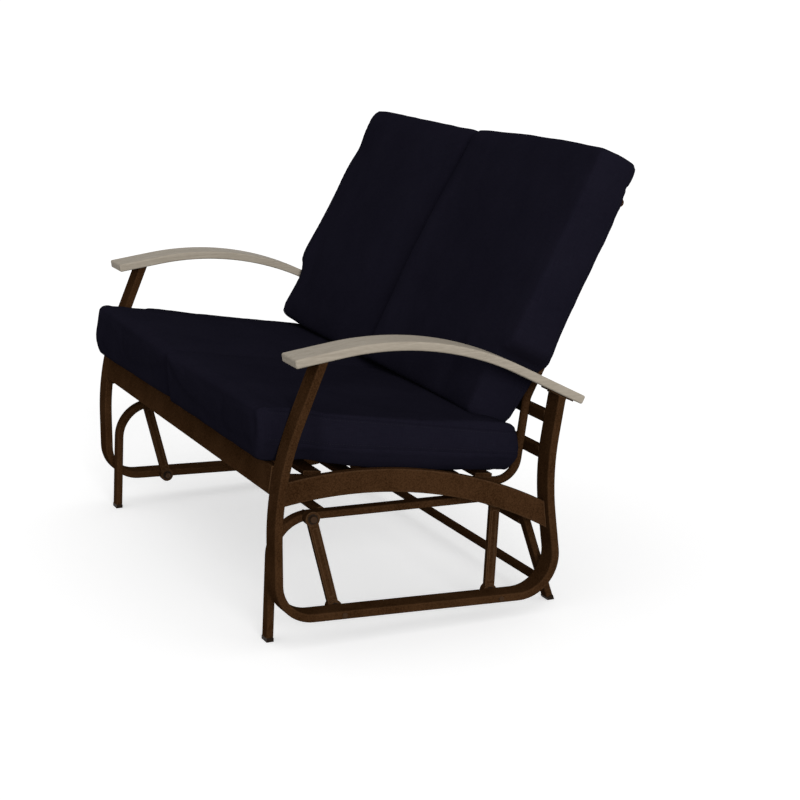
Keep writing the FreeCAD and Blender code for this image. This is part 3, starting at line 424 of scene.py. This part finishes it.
def cushion_cloth(name, lean):
    """Very dark navy woven cloth, its threads turned by the cushion's lean."""
    material, tree, skin = new_material(name)
    turned = []
    coordinates = add_node(tree, "ShaderNodeTexCoord")
    for source in ("Object", "Normal"):
        turn = add_node(tree, "ShaderNodeVectorRotate", rotation_type="X_AXIS")
        feed(tree, turn.inputs["Vector"], coordinates.outputs[source])
        turn.inputs["Angle"].default_value = lean
        turned.append(turn.outputs[0])
    weave = placed(tree, plain_weave, Place=turned[0], Facing=turned[1], Pitch=0.0011)
    tone = rescale(tree, weave["Tone"], 0.32, 0.68, 0.0, 1.0)
    yarn = mix_colour(tree, tone, YARN_DARK, YARN_LIGHT)
    raised = rescale(tree, weave["Height"], 0.0, 1.0, 0.0, 0.35)
    navy = mix_colour(tree, raised, yarn, YARN_RAISED)
    feed(tree, skin["Base Color"], navy)
    feed(tree, skin["Roughness"], rescale(tree, weave["Tone"], 0.3, 0.7, 0.82, 0.95))
    feed(tree, skin["Normal"], bumped(tree, weave["Height"], strength=0.6, distance=0.00025))
    skin["Specular IOR Level"].default_value = 0.0
    skin["Sheen Weight"].default_value = 0.004
    skin["Sheen Roughness"].default_value = 0.6
    skin["Sheen Tint"].default_value = CLOTH_SHEEN
    return material


def sewing_thread():
    """Polyester thread, a little lighter than the cloth."""
    material, tree, skin = new_material("seam_thread")
    twist = speckle(tree, object_place(tree), scale=1600, detail=1.0)
    feed(tree, skin["Base Color"], mix_colour(tree, twist, THREAD_DARK, THREAD_LIGHT))
    feed(tree, skin["Roughness"], rescale(tree, twist, 0.3, 0.7, 0.5, 0.7))
    feed(tree, skin["Normal"], bumped(tree, twist, strength=0.4, distance=0.0002))
    skin["Specular IOR Level"].default_value = 0.02
    return material


def moulded_plastic():
    """Dark brown moulded plastic of the foot plugs and bushes."""
    material, tree, skin = new_material("brown_plastic")
    grain = placed(tree, coat_grain, Grain=1500.0)
    scuffs = placed(tree, edge_wear_and_highlight, Radius=0.0015, Amount=0.5)
    dark = mix_colour(tree, grain["Tone"], PLASTIC_DARK, PLASTIC_LIGHT)
    feed(tree, skin["Base Color"], mix_colour(tree, scuffs["Mask"], dark, PLASTIC_SCUFFED))
    feed(tree, skin["Roughness"], rescale(tree, grain["Tone"], 0.3, 0.7, 0.38, 0.55))
    feed(tree, skin["Normal"], bumped(tree, grain["Height"], strength=0.2, distance=0.0002))
    skin["Specular IOR Level"].default_value = 0.05
    return material


def plated_bolt():
    """Brown plated steel of the bolts, nuts and screws."""
    material, tree, skin = new_material("bronze_plating")
    grain = placed(tree, coat_grain, Grain=700.0)
    wear_and_highlight = placed(tree, edge_wear_and_highlight, Radius=0.0008, Amount=0.8)
    brown = mix_colour(tree, grain["Tone"], PLATING_DARK, PLATING_LIGHT)
    feed(tree, skin["Base Color"], mix_colour(tree, wear_and_highlight["Mask"], brown, PLATING_WORN))
    feed(tree, skin["Metallic"], rescale(tree, wear_and_highlight["Mask"], 0.0, 1.0, 0.05, 0.5))
    feed(tree, skin["Roughness"], rescale(tree, grain["Tone"], 0.3, 0.7, 0.4, 0.55))
    feed(tree, skin["Normal"], bumped(tree, grain["Height"], strength=0.12, distance=0.0002))
    skin["Specular IOR Level"].default_value = 0.06
    return material


finishes = {
    "frame_paint": painted_frame(),
    "arm_board": arm_board(),
    "cushion_fabric": cushion_cloth("navy_seat_cloth", SEAT_TOP_SLOPE),
    "bush_plastic": moulded_plastic(),
    "bolt_metal": plated_bolt(),
}
back_cloth = cushion_cloth("navy_back_cloth", BACK_LEAN)
thread = sewing_thread()
for node in nodes.values():
    for place in node.material_slots:
        place.material = finishes[place.material.name.split(".")[0]]


# Cushions


class Seam:
    """A seam's plane: a point in the (Y, Z) plane, how it is turned about X, which way its band lies,
    and the Y before which there is no seam, since the cloth rolls over the front in one piece."""

    def __init__(self, point, turn, band_side, ends_at=-FAR):
        self.point = Vector((0, point[0], point[1]))
        self.normal = Vector((0, -math.sin(turn), math.cos(turn)))
        self.band_side = band_side
        self.ends_at = ends_at


def on_back(ahead, up):
    """A point of the (Y, Z) plane from how far it is ahead of the back's line and up along it."""
    return (up * math.sin(BACK_LEAN) - ahead * math.cos(BACK_LEAN),
            up * math.cos(BACK_LEAN) + ahead * math.sin(BACK_LEAN))


def back_seam(ahead, band_side):
    """A seam that runs along the back's lean."""
    return Seam(on_back(ahead, 0), math.pi / 2 - BACK_LEAN, band_side)


def line_on(cover, seam, name, beside=0.0):
    """The line where a cover meets a seam's plane, or a plane beside it, as a curve."""
    line = copy_of(cover, name)
    bpy.ops.object.mode_set(mode="EDIT")
    bpy.ops.mesh.select_all(action="SELECT")
    place = seam.point + seam.normal * seam.band_side * beside
    bpy.ops.mesh.bisect(plane_co=place, plane_no=seam.normal, clear_inner=True, clear_outer=True)
    bpy.ops.mesh.select_all(action="SELECT")
    bpy.ops.mesh.remove_doubles(threshold=LINE_MERGE)
    bpy.ops.object.mode_set(mode="OBJECT")
    bpy.ops.object.convert(target="CURVE")
    return line


def from_planes(points, seams):
    """How far each point is from the nearest seam's plane."""
    away = [np.abs((points - np.array(seam.point)) @ np.array(seam.normal)) for seam in seams]
    return np.min(away, axis=0)


def seam_tree(cover, seams):
    """A lookup of the nearest seam point on a cover."""
    points = []
    for seam in seams:
        line = line_on(cover, seam, "seam_line")
        longest = max(line.data.splines, key=lambda spline: len(spline.points))
        points += [point.co.to_3d() for point in longest.points if point.co.y > seam.ends_at]
        bpy.data.objects.remove(line)
    tree = KDTree(len(points))
    for i, point in enumerate(points):
        tree.insert(point, i)
    tree.balance()
    return tree


def near_seams(points, tree):
    """Each point's nearest seam point, and how far it is."""
    found = [tree.find(point) for point in points]
    return np.array([hit[0] for hit in found]), np.array([hit[2] for hit in found])


def remeshed(node, name):
    """An even mesh on the cushion's form, for the simulation."""
    cover = copy_of(nodes[node], name)
    bpy.ops.object.mode_set(mode="EDIT")
    bpy.ops.mesh.select_all(action="SELECT")
    bpy.ops.mesh.remove_doubles(threshold=SOLID_MERGE)
    bpy.ops.mesh.normals_make_consistent(inside=False)
    bpy.ops.object.mode_set(mode="OBJECT")
    apply_modifier(cover, "REMESH", mode="VOXEL", voxel_size=COVER_VOXEL, adaptivity=0.0)
    apply_modifier(cover, "SHRINKWRAP", target=nodes[node], wrap_method="NEAREST_SURFACEPOINT")
    return cover


def on_band(points, seams):
    """1 for points on the side band between a cushion's two seam planes, 0 on its panels."""
    between = np.ones(len(points))
    for seam in seams:
        between *= (points - np.array(seam.point)) @ np.array(seam.normal) * seam.band_side > 0
    return between


def let_down(cover, seams, tree, panel_drop):
    """Draws the panels in, least at the seams and where the cloth rolls over the front, so that
    the filling can push them out."""
    points = points_of(cover.data)
    distance = near_seams(points, tree)[1]
    slack = (1 - on_band(points, seams)) * smooth_step((points[:, 1] - seams[0].ends_at) / FRONT_ROLL)
    drop = BAND_DROP + (panel_drop - BAND_DROP) * slack
    inward = SEAM_DROP + (drop - SEAM_DROP) * smooth_step(distance / SLACK_REACH)
    set_points(cover.data, points - normals_of(cover.data) * inward[:, None])
    pinned = cover.vertex_groups.new(name="sewn")
    pinned.add([int(i) for i in np.nonzero(distance < COVER_VOXEL)[0]], 1.0, "ADD")


def fill(cover, cap):
    """Blows the cover up as cloth, held at its seams, and keeps each point's move to about the cap."""
    only(cover)
    start = points_of(cover.data)
    outward = normals_of(cover.data)
    cloth = cover.modifiers.new("filling", "CLOTH")
    cloth.settings.quality = 3
    cloth.settings.mass = 0.25
    cloth.settings.tension_stiffness = 12
    cloth.settings.compression_stiffness = 12
    cloth.settings.shear_stiffness = 4
    cloth.settings.bending_stiffness = 0.6
    cloth.settings.use_pressure = True
    cloth.settings.uniform_pressure_force = FILL_PRESSURE
    cloth.settings.vertex_group_mass = "sewn"
    cloth.settings.effector_weights.gravity = 0
    cloth.collision_settings.use_collision = False
    cloth.point_cache.frame_start = 1
    cloth.point_cache.frame_end = FILL_STEPS
    scene = bpy.context.scene
    for step in range(1, FILL_STEPS + 1):
        scene.frame_set(step)
    filled = cover.evaluated_get(bpy.context.evaluated_depsgraph_get())
    moved = points_of(filled.data) - start
    cover.modifiers.remove(cloth)
    scene.frame_set(1)
    out = (moved * outward).sum(axis=1)
    along = moved - outward * out[:, None]
    out = np.where(out > 0, cap * np.tanh(out / cap), PULL_IN * np.tanh(out / PULL_IN))
    slide = np.linalg.norm(along, axis=1)
    along *= (SLIDE * np.tanh(slide / SLIDE) / np.maximum(slide, 1e-9))[:, None]
    set_points(cover.data, start + outward * out[:, None] + along)


def mirrored(cover, name):
    """The same cover for the other side, its faces turned outwards again."""
    piece = copy_of(cover, name)
    points = points_of(piece.data)
    points[:, 0] *= -1
    set_points(piece.data, points)
    bpy.ops.object.mode_set(mode="EDIT")
    bpy.ops.mesh.select_all(action="SELECT")
    bpy.ops.mesh.flip_normals()
    bpy.ops.object.mode_set(mode="OBJECT")
    return piece


def settle(cover, node, tree, seed):
    """Adds the soft unevenness of a used cushion, puckers at its seams, and keeps it in its place."""
    points = points_of(cover.data)
    outward = normals_of(cover.data)
    nearest, distance = near_seams(points, tree)
    shift = np.empty(len(points))
    for i, point in enumerate(points):
        broad = noise.noise(Vector(point) * BROAD_WAVES + seed)
        small = noise.noise(Vector(point) * SMALL_WAVES + seed)
        pucker = noise.noise(Vector(nearest[i]) * PUCKER_WAVES + seed)
        shift[i] = broad * BROAD_DENT + small * SMALL_DENT
        shift[i] += pucker * PUCKER_DENT * math.exp(-distance[i] / PUCKER_REACH)
    points += outward * shift[:, None]
    form = BVHTree.FromObject(nodes[node], bpy.context.evaluated_depsgraph_get())
    for i, point in enumerate(points):
        place, facing, _, _ = form.find_nearest(Vector(point))
        outside = (Vector(point) - place).dot(facing)
        if outside > -INSIDE_SOLID:
            points[i] = place - facing * INSIDE_SOLID
    set_points(cover.data, points)


def eased(cover, tree):
    """Rounds the edges at a seam that doesn't show, where the cloth rolls over the filling."""
    distance = near_seams(points_of(cover.data), tree)[1]
    soft = cover.vertex_groups.new(name="soft_edge")
    for i in np.nonzero(distance < EDGE_EASE)[0]:
        soft.add([int(i)], float(smooth_step(2 - 2 * distance[i] / EDGE_EASE)), "REPLACE")
    apply_modifier(cover, "SMOOTH", factor=0.5, iterations=EDGE_EASE_ROUNDS, vertex_group="soft_edge")


def drawn(cover, moves, axes):
    """Listed moves: each one shifts the cover near a place, and fades out over its reach.
    What lay between the armrests stays between them."""
    points = points_of(cover.data)
    in_axes = points @ axes.T
    shift = np.zeros_like(points)
    for place, reach, move in moves:
        away = np.linalg.norm((in_axes - np.array(place)) / np.array(reach), axis=1)
        shift += np.exp(-away ** 2)[:, None] * np.array(move)
    moved = points + shift @ axes
    inside = np.abs(points[:, 0]) < BETWEEN_ARMS
    moved[inside, 0] = np.clip(moved[inside, 0], -BETWEEN_ARMS, BETWEEN_ARMS)
    set_points(cover.data, moved)


def grooved(cover, seams):
    """Presses the seams in on the finished cover, as far forward as they go."""
    points = points_of(cover.data)
    depth = SEAM_DEPTH * np.exp(-(from_planes(points, seams) / SEAM_REACH) ** 2)
    depth *= smooth_step((points[:, 1] - seams[0].ends_at) / SEAM_FADE)
    set_points(cover.data, points - normals_of(cover.data) * depth[:, None])


def seam_strip(cover, seams, name):
    """A copy of the faces near the seams, which is all that their lines need."""
    strip = copy_of(cover, name)
    bpy.ops.object.mode_set(mode="EDIT")
    bpy.ops.mesh.select_mode(type="FACE")
    bpy.ops.mesh.select_all(action="DESELECT")
    bpy.ops.object.mode_set(mode="OBJECT")
    middles = np.empty(len(strip.data.polygons) * 3)
    strip.data.polygons.foreach_get("center", middles)
    middles = middles.reshape(-1, 3)
    far = from_planes(middles, seams) > STRIP_REACH
    strip.data.polygons.foreach_set("select", far | (middles[:, 1] < seams[0].ends_at))
    bpy.ops.object.mode_set(mode="EDIT")
    bpy.ops.mesh.delete(type="FACE")
    bpy.ops.object.mode_set(mode="OBJECT")
    return strip


def stitched(cover, name, seams, cloth):
    """The sewn edges of a cushion: a narrow bead in each seam and a row of stitches beside it."""
    beads = []
    rows = []
    strip = seam_strip(cover, seams, name + "_strip")
    for i, seam in enumerate(seams):
        bead = line_on(strip, seam, "%s_bead_%d" % (name, i))
        bead.data.bevel_depth = SEAM_BEAD
        bead.data.bevel_resolution = 2
        bead.data.use_fill_caps = True
        only(bead)
        bpy.ops.object.convert(target="MESH")
        beads.append(bead)
        path = line_on(strip, seam, "%s_row_%d" % (name, i), beside=STITCH_BESIDE_SEAM)
        bpy.ops.mesh.primitive_uv_sphere_add(segments=6, ring_count=5, radius=0.5)
        row = bpy.context.active_object
        row.name = "%s_stitches_%d" % (name, i)
        row.scale = (STITCH_LONG, STITCH_THICK, STITCH_THICK)
        bpy.ops.object.transform_apply(location=False, rotation=False, scale=True)
        apply_modifier(row, "ARRAY", fit_type="FIT_CURVE", curve=path, use_relative_offset=False,
                       use_constant_offset=True, constant_offset_displace=(STITCH_PITCH, 0, 0))
        apply_modifier(row, "CURVE", object=path, deform_axis="POS_X")
        bpy.data.objects.remove(path)
        rows.append(row)
    bpy.data.objects.remove(strip)
    for parts, ending, finish in ((beads, "seams", cloth), (rows, "stitches", thread)):
        bpy.ops.object.select_all(action="DESELECT")
        for part in parts:
            part.select_set(True)
        bpy.context.view_layer.objects.active = parts[0]
        if len(parts) > 1:
            bpy.ops.object.join()
        piece = parts[0]
        piece.name = name + "_" + ending
        bpy.ops.object.shade_smooth()
        dress(piece, finish)


def dress(piece, finish):
    """Gives a cushion piece its finish, and lets it glide with the seat."""
    piece.data.materials.clear()
    piece.data.materials.append(finish)
    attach(piece, "seat")


def sew_cushions(kind, seams, hidden, cloth, puff, slack, moves, axes):
    """Both cushions of a kind: one is filled, the other is its mirror, and each settles its own way.
    The cover is held at its hidden seams too, but only the others are pressed in and stitched."""
    pattern = remeshed(kind + "_right", kind + "_pattern")
    held = seams + hidden
    let_down(pattern, held, seam_tree(pattern, held), slack)
    fill(pattern, puff)
    for number, side in enumerate(SIDES):
        name = "%s_%s" % (kind, side)
        cover = copy_of(pattern, name + "_cover") if side == "right" else mirrored(pattern, name + "_cover")
        settle(cover, name, seam_tree(cover, seams), SEED_STEP * (number + 1))
        if hidden:
            eased(cover, seam_tree(cover, hidden))
        drawn(cover, moves[side], axes)
        apply_modifier(cover, "SUBSURF", levels=1, render_levels=1)
        grooved(cover, seams)
        only(cover)
        bpy.ops.object.shade_smooth()
        dress(cover, cloth)
        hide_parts(name)
        stitched(cover, name, seams, cloth)
    bpy.data.objects.remove(pattern)


seat_seams = [Seam(SEAT_TOP_SEAM, -SEAT_TOP_SLOPE, -1, SEAT_SEAM_END),
              Seam(SEAT_LOW_SEAM, -SEAT_LOW_SLOPE, 1, SEAT_SEAM_END)]
back_seams = [back_seam(BACK_REAR_SEAM, 1)]
back_fold = [back_seam(BACK_FRONT_SEAM, -1)]

# How each cushion lies in its own way: a place, the reach along each axis, and the move there.
# A seat's axes are X, Y and Z. A back's are X, ahead of its line and up along it, and the foot
# of both backs hangs lower and a little further ahead than in the solids.

plain_axes = np.eye(3)
back_axes = np.array([
    [1, 0, 0],
    [0, -math.cos(BACK_LEAN), math.sin(BACK_LEAN)],
    [0, math.sin(BACK_LEAN), math.cos(BACK_LEAN)],
])
seat_moves = {
    "right": [
        ((0.59, 0.133, 0.37), (0.035, 0.10, 0.09), (0, 0.020, 0)),
        ((0.35, 0.10, 0.43), (0.5, 0.20, 0.06), (0, 0, 0.008)),
        ((0.12, 0.14, 0.405), (0.14, 0.07, 0.06), (0, 0, 0.013)),
        ((0.33, 0.14, 0.405), (0.14, 0.07, 0.06), (0, 0, 0.013)),
        ((0.52, 0.10, 0.44), (0.12, 0.10, 0.05), (0, 0, 0.008)),
        ((0.575, -0.08, 0.365), (0.05, 0.30, 0.035), (0, 0, -0.009)),
        ((0.54, -0.425, 0.45), (0.05, 0.03, 0.05), (0.006, 0, 0)),
        ((0.548, -0.44, 0.475), (0.014, 0.03, 0.025), (0, 0.006, 0)),
        ((0.01, -0.43, 0.50), (0.10, 0.10, 0.05), (0.002, -0.004, 0.008)),
        ((0, -0.20, 0.47), (0.15, 0.25, 0.05), (0, 0, 0.006)),
        ((0, -0.44, 0.48), (0.22, 0.06, 0.10), (0, -0.007, 0)),
        ((0, -0.44, 0.45), (0.012, 0.02, 0.20), (0.004, 0.005, 0)),
    ],
    "left": [
        ((-0.35, 0.05, 0.44), (0.5, 0.25, 0.06), (0, 0, 0.007)),
        ((-0.12, 0.14, 0.405), (0.14, 0.07, 0.06), (0, 0, 0.013)),
        ((-0.35, 0.14, 0.405), (0.16, 0.07, 0.06), (0, 0, 0.013)),
        ((-0.52, -0.38, 0.50), (0.25, 0.25, 0.06), (0, 0.002, 0.009)),
        ((-0.54, -0.44, 0.43), (0.12, 0.05, 0.035), (-0.002, -0.008, 0)),
        ((0, -0.43, 0.46), (0.04, 0.12, 0.20), (-0.003, 0.010, -0.005)),
        ((0, -0.44, 0.46), (0.035, 0.05, 0.20), (-0.004, 0.014, -0.004)),
    ],
}
foot = ((0, 0.160, 0.440), (FAR, 0.09, 0.09), (0, 0.0046, -0.0155))
back_moves = {
    "right": [
        foot,
        ((0.50, 0.120, 0.445), (0.15, 0.09, 0.05), (0, 0, -0.004)),
        ((0.62, 0.110, 1.022), (0.52, 0.40, 0.20), (0, 0, 0.0271)),
        ((0.30, 0.110, 1.022), (0.22, 0.30, 0.12), (0, 0, 0.005)),
        ((0.01, 0.110, 1.022), (0.04, 0.20, 0.04), (0, 0, -0.003)),
        ((0.60, 0.056, 0.851), (0.10, 0.10, 0.10), (0, -0.0035, 0.0019)),
        ((0.595, 0.063, 0.966), (0.08, 0.03, 0.016), (0, 0.0045, 0)),
        ((0.40, 0.157, 0.516), (0.03, 0.08, 0.05), (0, -0.0071, 0.0037)),
        ((0, 0.180, 0.660), (0.09, 0.05, 0.26), (0, 0.026, 0)),
        ((0.557, 0.045, 0.580), (0.03, 0.035, 0.06), (0.003, -0.014, 0)),
        ((0.557, 0.043, 0.530), (0.03, 0.04, 0.06), (0.006, -0.012, 0)),
        ((0.54, 0.085, 0.437), (0.09, 0.07, 0.05), (0, -0.003, -0.007)),
        ((0, 0.190, 0.720), (0.012, 0.02, FAR), (0.005, -0.005, 0)),
    ],
    "left": [
        foot,
        ((-0.553, 0.149, 0.543), (0.10, 0.08, 0.08), (0, 0.0053, -0.0028)),
        ((-0.60, 0.163, 0.904), (0.08, 0.08, 0.03), (0.002, -0.0044, 0.0023)),
        ((-0.60, 0.160, 0.932), (0.20, 0.20, 0.12), (0, -0.0045, 0.0005)),
        ((-0.60, 0.140, 1.022), (0.05, 0.10, 0.05), (0.001, 0, -0.005)),
        ((-0.03, 0.110, 1.022), (0.15, 0.40, 0.15), (0, 0, 0.0045)),
        ((0, 0.190, 0.660), (0.16, 0.08, 0.26), (0, -0.010, 0)),
        ((0, 0.190, 0.660), (0.03, 0.05, 0.40), (-0.003, -0.012, 0)),
        ((-0.557, 0.182, 0.590), (0.04, 0.05, 0.12), (-0.003, 0.010, 0)),
        ((-0.557, 0.170, 0.460), (0.05, 0.06, 0.06), (-0.002, 0.007, -0.001)),
        ((-0.557, 0.165, 0.440), (0.10, 0.06, 0.05), (-0.004, 0.003, 0.009)),
    ],
}
seat_cloth = finishes["cushion_fabric"]
sew_cushions("seat_cushion", seat_seams, [], seat_cloth, SEAT_PUFF, SEAT_SLACK, seat_moves, plain_axes)
sew_cushions("back_cushion", back_seams, back_fold, back_cloth, BACK_PUFF, BACK_SLACK, back_moves, back_axes)


# Studio


def seen_directly(tree):
    """1 for rays from the camera, in a mirror or through glass."""
    path = add_node(tree, "ShaderNodeLightPath").outputs
    seen = calc(tree, "MAXIMUM", path["Is Camera Ray"], path["Is Glossy Ray"])
    return calc(tree, "MAXIMUM", seen, path["Is Transmission Ray"])


def studio_floor():
    """A pale floor that fades into a white room and keeps the bench's shadow."""
    bpy.ops.mesh.primitive_circle_add(vertices=96, radius=30, fill_type="NGON", location=(0, 0, 0))
    floor = bpy.context.active_object
    floor.name = "studio_floor"
    material = bpy.data.materials.new("pale_floor")
    material.use_nodes = True
    tree = material.node_tree
    tree.nodes.clear()
    matte = add_node(tree, "ShaderNodeBsdfDiffuse")
    seen = seen_directly(tree)
    feed(tree, matte.inputs["Color"], mix_colour(tree, seen, FLOOR_BOUNCE, FLOOR_SEEN))
    lift = add_node(tree, "ShaderNodeEmission")
    feed(tree, lift.inputs["Strength"], calc(tree, "MULTIPLY", seen, FLOOR_LIFT))
    both = add_node(tree, "ShaderNodeAddShader")
    feed(tree, both.inputs[0], matte.outputs[0])
    feed(tree, both.inputs[1], lift.outputs[0])
    feed(tree, add_node(tree, "ShaderNodeOutputMaterial").inputs["Surface"], both.outputs[0])
    floor.data.materials.append(material)


def white_room(strength):
    """A world that is seen as plain white, and lights the bench with the given strength."""
    world = bpy.data.worlds.new("white_room")
    bpy.context.scene.world = world
    world.use_nodes = True
    tree = world.node_tree
    shade = tree.nodes["Background"]
    shade.inputs["Color"].default_value = WHITE
    seen = calc(tree, "MULTIPLY", seen_directly(tree), 1 - strength)
    feed(tree, shade.inputs["Strength"], calc(tree, "ADD", seen, strength))


def soft_lamp(name, azimuth, height, strength, spread):
    """A broad lamp far away, which lights from a compass direction and a height in degrees."""
    lamp = bpy.data.lights.new(name, "SUN")
    lamp.energy = strength
    lamp.angle = math.radians(spread)
    place = bpy.data.objects.new(name, lamp)
    bpy.context.scene.collection.objects.link(place)
    place.rotation_euler = (math.radians(90 - height), 0, math.radians(azimuth))


def camera(place, azimuth, height, lens):
    """The photo's view: a place, a compass direction and a height in degrees, and a lens in mm."""
    data = bpy.data.cameras.new("photo_view")
    data.lens = lens
    data.sensor_width = 36
    data.clip_end = 100
    view = bpy.data.objects.new("photo_view", data)
    bpy.context.scene.collection.objects.link(view)
    view.location = place
    view.rotation_euler = (math.radians(90 - height), 0, math.radians(azimuth))
    bpy.context.scene.camera = view


studio_floor()
white_room(strength=0.57)
soft_lamp("key_lamp", azimuth=80, height=15, strength=2.0, spread=25)
camera(place=(4.4793, -1.8723, 1.5368), azimuth=65.82, height=13.65, lens=95.27)
bpy.context.scene.view_settings.view_transform = "Standard"
